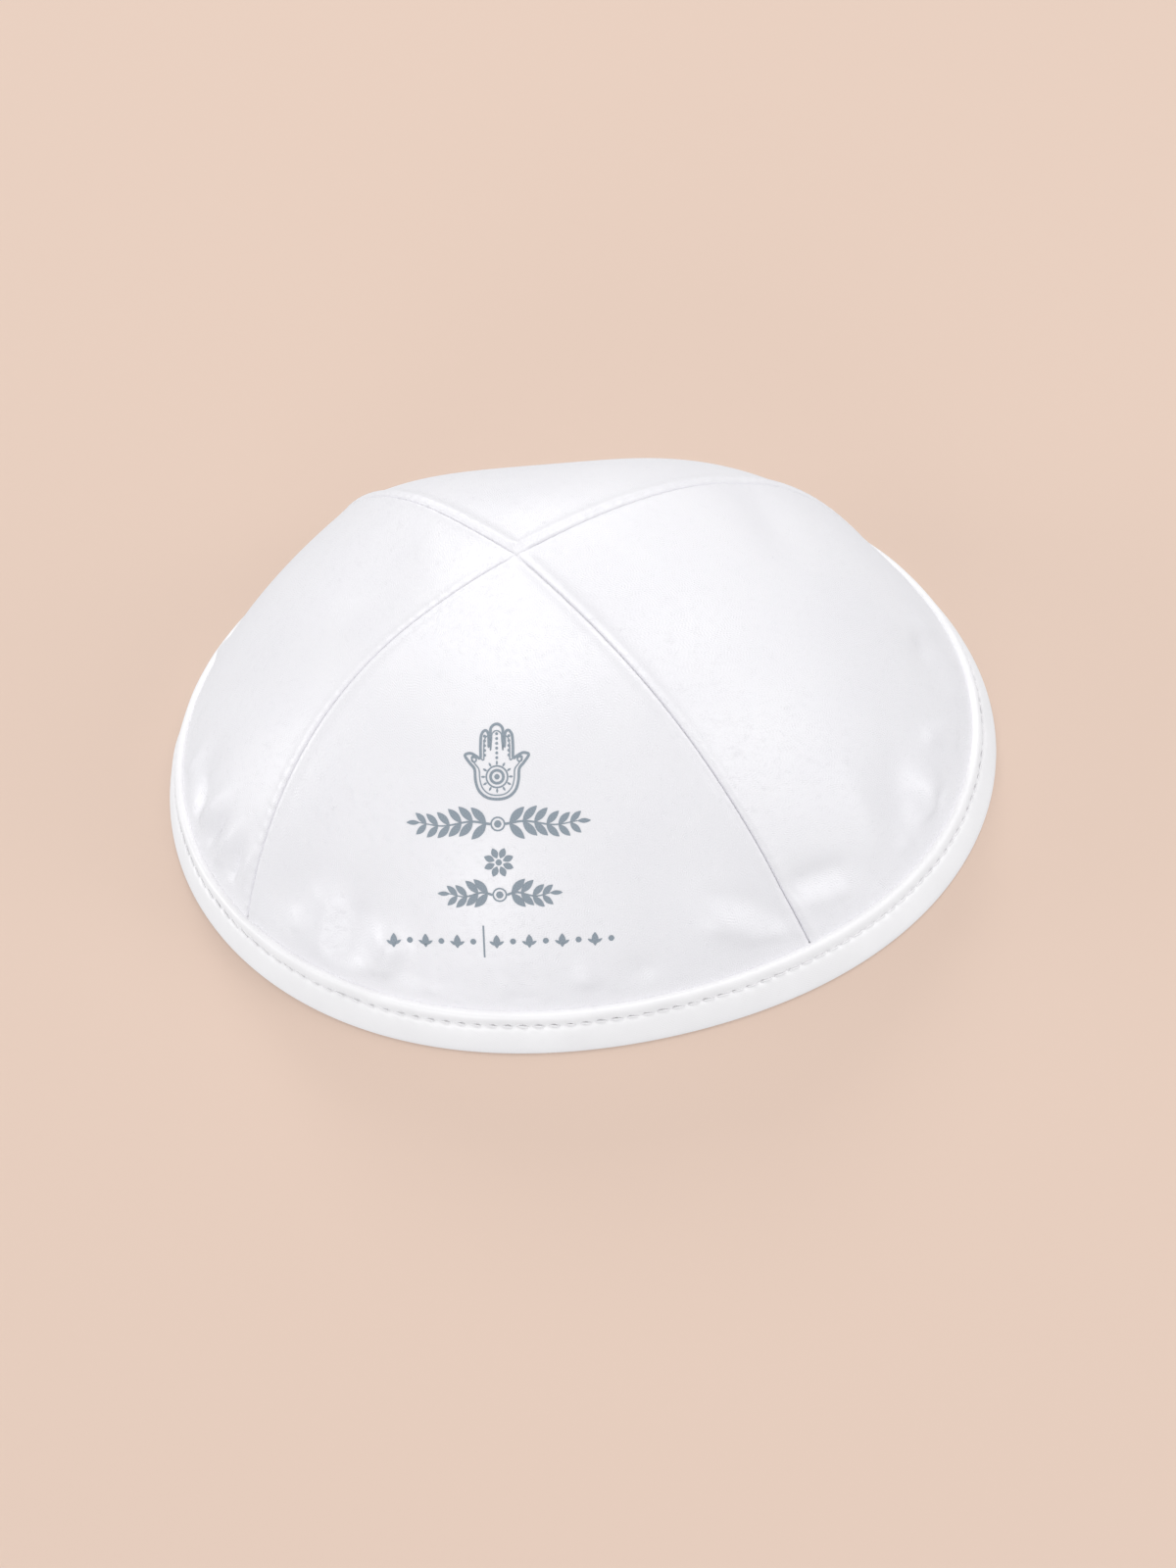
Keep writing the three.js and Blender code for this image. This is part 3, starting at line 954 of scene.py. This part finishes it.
def make_allowance(index, bearing):
    down = np.linspace(*ALLOWANCE_SPAN, ALLOWANCE_ROWS)[:, None]
    sides = np.array(ALLOWANCE_OFFSETS)[None, :]
    radius = plan_radius(bearing, down)
    half = np.minimum(ALLOWANCE_HALF, ALLOWANCE_SHARE * radius)
    bearings = bearing + np.degrees(sides * half / radius)
    downs = np.broadcast_to(down, bearings.shape)
    fold = ALLOWANCE_FOLD * bell(sides, ALLOWANCE_FOLD_SHARE)
    upper = -PANEL_CLOTH - ALLOWANCE_LIFT - fold
    outer = crown_point(bearings, downs, upper)
    inner = crown_point(bearings, downs, upper - ALLOWANCE_CLOTH)
    uv = np.stack([sides * half, -downs * CROWN_ARC], -1)
    name = f"seam_allowance_{index}"
    piece = sheet_object(name, outer, inner, uv, [cloth_back, cloth_back])
    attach(piece, "root")
    return piece


seams = [panel["span"][0] for panel in PANELS]
allowances = [make_allowance(index + 1, bearing) for index, bearing in enumerate(seams)]
print("seam allowances:", len(allowances))


# %% [markdown]
# The front panel carries a small print in one grey-blue ink: a hamsa, and under it plain leaf
# ornaments. An image could carry it, but drawn as thin mesh it stays sharp from close by. One tool
# draws it all, a ribbon of changing width along a line: a steady width makes a line, a swelling one
# a leaf, and a short round one a dot.

# %% Drawing tools for the print
PRINT_STEP = 0.45


def smooth_line(points, closed=False, step=PRINT_STEP):
    """A smooth line through a few points, sampled evenly enough for a print."""
    points = [np.array(point, float) for point in points]
    if closed:
        padded = [points[-1], *points, points[0], points[1]]
    else:
        padded = [2 * points[0] - points[1], *points, 2 * points[-1] - points[-2]]
    line = []
    for near in zip(padded, padded[1:], padded[2:], padded[3:]):
        pieces = max(2, int(np.linalg.norm(near[2] - near[1]) / step))
        line.extend(spline(*near, part) for part in np.arange(pieces) / pieces)
    if not closed:
        line.append(points[-1])
    return np.array(line)


def ribbon(drawing, line, widths, closed=False):
    """Add a strip of faces along a line, with one width at each of its points."""
    line = np.asarray(line, float)
    widths = np.broadcast_to(widths, len(line))
    if closed:
        tangent = np.roll(line, -1, 0) - np.roll(line, 1, 0)
    else:
        tangent = np.gradient(line, axis=0)
    tangent /= np.linalg.norm(tangent, axis=1, keepdims=True) + 1e-12
    side = np.stack([-tangent[:, 1], tangent[:, 0]], 1) * widths[:, None] / 2
    first = len(drawing["points"])
    for left, right in zip(line + side, line - side):
        drawing["points"].extend([left, right])
    count = len(line)
    for index in range(count if closed else count - 1):
        a = first + 2 * index
        b = first + 2 * ((index + 1) % count)
        drawing["faces"].append((a, a + 1, b + 1, b))


def direction(turn):
    """A direction in the drawing, from degrees."""
    return np.array([math.cos(math.radians(turn)), math.sin(math.radians(turn))])


def leaf(drawing, base, angle, length, width, curl=0.0):
    """A leaf from its base, in a direction in degrees, with a bend to one side."""
    share = np.linspace(0, 1, 9)
    forward = direction(angle)
    aside = np.array([-forward[1], forward[0]])
    line = np.array(base) + np.outer(share * length, forward) + np.outer(curl * share**2, aside)
    ribbon(drawing, line, width * np.sin(np.pi * np.clip(share, 0.02, 0.99)) ** 0.8)


def dot(drawing, centre, size):
    share = np.linspace(-0.98, 0.98, 7)
    line = np.array(centre) + np.outer(share * size / 2, (1, 0))
    ribbon(drawing, line, size * np.sqrt(1 - share**2))


def ring(drawing, centre, size, width):
    turns = np.radians(np.linspace(0, 360, max(9, int(size * 7)) + 1))[:-1]
    line = np.array(centre) + size / 2 * np.stack([np.cos(turns), np.sin(turns)], 1)
    ribbon(drawing, line, width, closed=True)


def both_sides(points):
    """A closed outline from its right half, given upwards from the bottom middle to the top."""
    left = [(-x, y) for x, y in reversed(points) if x > 0]
    return points + left


print("drawing tools: line, ribbon, leaf, dot and ring")


# %% [markdown]
# The hamsa has an open palm with two curled thumbs and three straight fingers. Half of its outline
# is enough, because the other half is its mirror. The ornaments below it are rows of leaves on a
# stem, with a rosette between them, and a fine border with an upright rule. Each could be placed
# point by point, but loops place the leaves, so a row changes with one number. All are in
# millimetres on flat paper.

# %% The hamsa and its ornaments
FINE = 0.32
LINE = 0.55
HAMSA_MIDDLE = (0, 12.6)
HAMSA_SCALE = 0.96
HAMSA_HALF = [
    (0, -7.7), (2.2, -7.3), (3.8, -5.9), (4.5, -3.8), (4.7, -1.4), (5.7, -0.1), (6.7, 1.5),
    (5.5, 1.9), (4.3, 1.3), (3.45, 0.9), (3.4, 3.4), (3.2, 5.7), (2.45, 6.6), (1.75, 5.9), (1.62, 3.2),
    (1.35, 5.6), (1.15, 7.2), (0, 7.9),
]
INNER_LINE = {"share": (0.80, 0.86), "drop": -0.25, "width": 0.8 * FINE}
EYE = {"drop": -2.9, "outer": 4.3, "inner": 2.6, "pupil": 1.1}
RAY = {"turn": 30, "reach": 2.3, "length": 0.95, "width": 0.42}
BEADS = {"rows": ((-2.45, 1.4, 5.3), (0, 0.9, 6.4), (2.45, 1.4, 5.3)), "pitch": 0.95, "size": 0.6}
THUMB_RING = {"x": 4.6, "y": 0.55, "size": 0.95}
ROW_ONE = {"y": 0.2, "half": 16.0, "leaf": 4.5, "width": 1.75, "pairs": 6}
ROW_TWO = {"y": -14.5, "half": 10.2, "leaf": 4.2, "width": 1.7, "pairs": 4}
ROW_MIDDLE = {"dot": 1.5, "ring": 2.7}

# Points of a stem after its first: share of half the row, and rise
STEM = ((0.35, 0.5), (0.7, -0.4), (1.0, 0.2))
STEM_WIDTHS = (0.5, 0.2)
LEAVES = {"lean": 52, "curl": 0.35, "start": 0.55, "shorten": 0.35, "thin": 0.3}
LAST_LEAF = {"length": 0.6, "width": 0.55}
ROSETTE = {"y": -7.7, "petals": 8, "dot": 1.3, "reach": 0.95, "length": 2.2, "width": 1.35}
BORDER = {
    "y": -24.6, "left": (-23.0, -5.2), "right": (-1.6, 23.0), "margin": 0.6, "pitch": 2.8,
    "height": 2.9, "width": 1.4, "dot": 1.25,
}
BUD = {"drop": 0.9, "lean": 58, "length": 1.75, "width": 0.62}
RULE = {"x": -3.6, "half": 3.5, "width": 0.34}


def draw_hamsa(drawing):
    middle = np.array(HAMSA_MIDDLE)
    outline = smooth_line(both_sides(HAMSA_HALF), closed=True, step=0.3) * HAMSA_SCALE
    ribbon(drawing, middle + outline, LINE, closed=True)
    inner = middle + outline * INNER_LINE["share"] + (0, INNER_LINE["drop"])
    ribbon(drawing, inner, INNER_LINE["width"], closed=True)
    centre = middle + (0, EYE["drop"])
    ring(drawing, centre, EYE["outer"], FINE)
    ring(drawing, centre, EYE["inner"], LINE)
    dot(drawing, centre, EYE["pupil"])
    for turn in range(0, 360, RAY["turn"]):
        leaf(drawing, centre + direction(turn) * RAY["reach"], turn, RAY["length"], RAY["width"])
    for x, low, high in BEADS["rows"]:
        for y in np.arange(low, high, BEADS["pitch"]):
            dot(drawing, middle + (x, y), BEADS["size"])
    for side in (-1, 1):
        ring(drawing, middle + (side * THUMB_RING["x"], THUMB_RING["y"]), THUMB_RING["size"], FINE)


def draw_leaf_row(drawing, row):
    """A stem with pairs of leaves that grow outwards from the middle, and a dot in the middle."""
    y, half = row["y"], row["half"]
    dot(drawing, (0, y), ROW_MIDDLE["dot"])
    ring(drawing, (0, y), ROW_MIDDLE["ring"], FINE)
    for side in (-1, 1):
        stem = [(side * half * share, y + rise) for share, rise in STEM]
        line = smooth_line([(side * ROW_MIDDLE["dot"], y)] + stem)
        ribbon(drawing, line, np.linspace(*STEM_WIDTHS, len(line)))
        for index in range(row["pairs"]):
            share = (index + LEAVES["start"]) / row["pairs"]
            base = line[int(share * (len(line) - 1))]
            length = row["leaf"] * (1 - LEAVES["shorten"] * share)
            width = row["width"] * (1 - LEAVES["thin"] * share)
            for way in (1, -1):
                lean = way * LEAVES["lean"]
                angle = lean if side > 0 else 180 - lean
                leaf(drawing, base, angle, length, width, -LEAVES["curl"] * side * way)
        length, width = row["leaf"] * LAST_LEAF["length"], row["width"] * LAST_LEAF["width"]
        leaf(drawing, line[-1], 0 if side > 0 else 180, length, width)


def draw_rosette(drawing):
    centre = np.array((0, ROSETTE["y"]))
    dot(drawing, centre, ROSETTE["dot"])
    for index in range(ROSETTE["petals"]):
        turn = 360 * (index + 0.5) / ROSETTE["petals"]
        base = centre + direction(turn) * ROSETTE["reach"]
        leaf(drawing, base, turn, ROSETTE["length"], ROSETTE["width"])


def draw_border(drawing):
    """Two rows of small leaves and dots, one on each side of an upright rule."""
    y, height = BORDER["y"], BORDER["height"]
    for start, end in (BORDER["left"], BORDER["right"]):
        count = int((end - start) / BORDER["pitch"])
        places = np.linspace(start + BORDER["margin"], end - BORDER["margin"], count)
        for index, x in enumerate(places):
            if index % 2:
                dot(drawing, (x, y), BORDER["dot"])
                continue
            leaf(drawing, (x, y - height / 2), 90, height, BORDER["width"])
            for side in (-1, 1):
                angle = 90 - side * BUD["lean"]
                leaf(drawing, (x, y - BUD["drop"]), angle, BUD["length"], BUD["width"])
    rule = [(RULE["x"], y + share) for share in np.linspace(-1, 1, 12) * RULE["half"]]
    ribbon(drawing, rule, RULE["width"])


drawing = {"points": [], "faces": []}
draw_hamsa(drawing)
draw_leaf_row(drawing, ROW_ONE)
draw_rosette(drawing)
draw_leaf_row(drawing, ROW_TWO)
draw_border(drawing)
print("flat drawing:", len(drawing["faces"]), "faces")


# %% [markdown]
# Ink is pressed onto the cloth, so it follows every fold and takes the crepe's grain. A Shrinkwrap
# modifier could lay the flat drawing on the panel, but a ray cast from each of its points gives
# the same result at once, and the print then stands a hair over the cloth.

# %% The print on the cloth
INK_COLOUR = (0.275, 0.325, 0.375)
INK_GRAIN = (1.9, 0.52, 0.06)
INK_STOPS = ((0.25, (0.25, 0.30, 0.35)), (0.75, (0.31, 0.36, 0.41)))
INK_LIFT = 0.06 * MM
PRINT_BEARING = 268.4
PRINT_DOWN = 0.56
PRINT_TURN = math.radians(1.5)
RAY_START = 40 * MM


def ink_finish():
    material, shader = new_finish("print_ink", INK_COLOUR, 0.55, 0.1, 0.35)
    lines = crepe_bump(material, shader, INK_GRAIN)
    colour_ramp(material, lines, shader.inputs["Base Color"], INK_STOPS)
    return material


def lay_on_cloth(drawing, cloth):
    """Cast the flat drawing, in millimetres, onto the outer face of a panel."""
    bearing, down = np.array([PRINT_BEARING]), np.array([PRINT_DOWN])
    middle = Vector(crown_point(bearing, down)[0])
    outward = Vector(outward_at(bearing, down)[0])
    across = Vector((0, 0, 1)).cross(outward).normalized()
    upwards = outward.cross(across)
    turned = across * math.cos(PRINT_TURN) + upwards * math.sin(PRINT_TURN)
    upwards = outward.cross(turned)
    tree = BVHTree.FromPolygons(
        [vertex.co for vertex in cloth.data.vertices],
        [face.vertices for face in cloth.data.polygons],
    )
    flat = np.array(drawing["points"]) * MM
    points = []
    for x, y in flat:
        start = middle + turned * x + upwards * y + outward * RAY_START
        hit = tree.ray_cast(start, -outward)[0]
        points.append(hit + outward * INK_LIFT)
    mesh = bpy.data.meshes.new("front_print")
    mesh.from_pydata(points, [], drawing["faces"])
    mesh.materials.append(ink_finish())
    layer = mesh.uv_layers.new(name="cloth")
    corners = flat[np.array(drawing["faces"])]
    layer.data.foreach_set("uv", corners.ravel().astype(np.float32))
    return new_object("front_print", mesh)


ornament = lay_on_cloth(drawing, panel_pieces[-1])
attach(ornament, "root")
print("print faces", len(ornament.data.polygons))
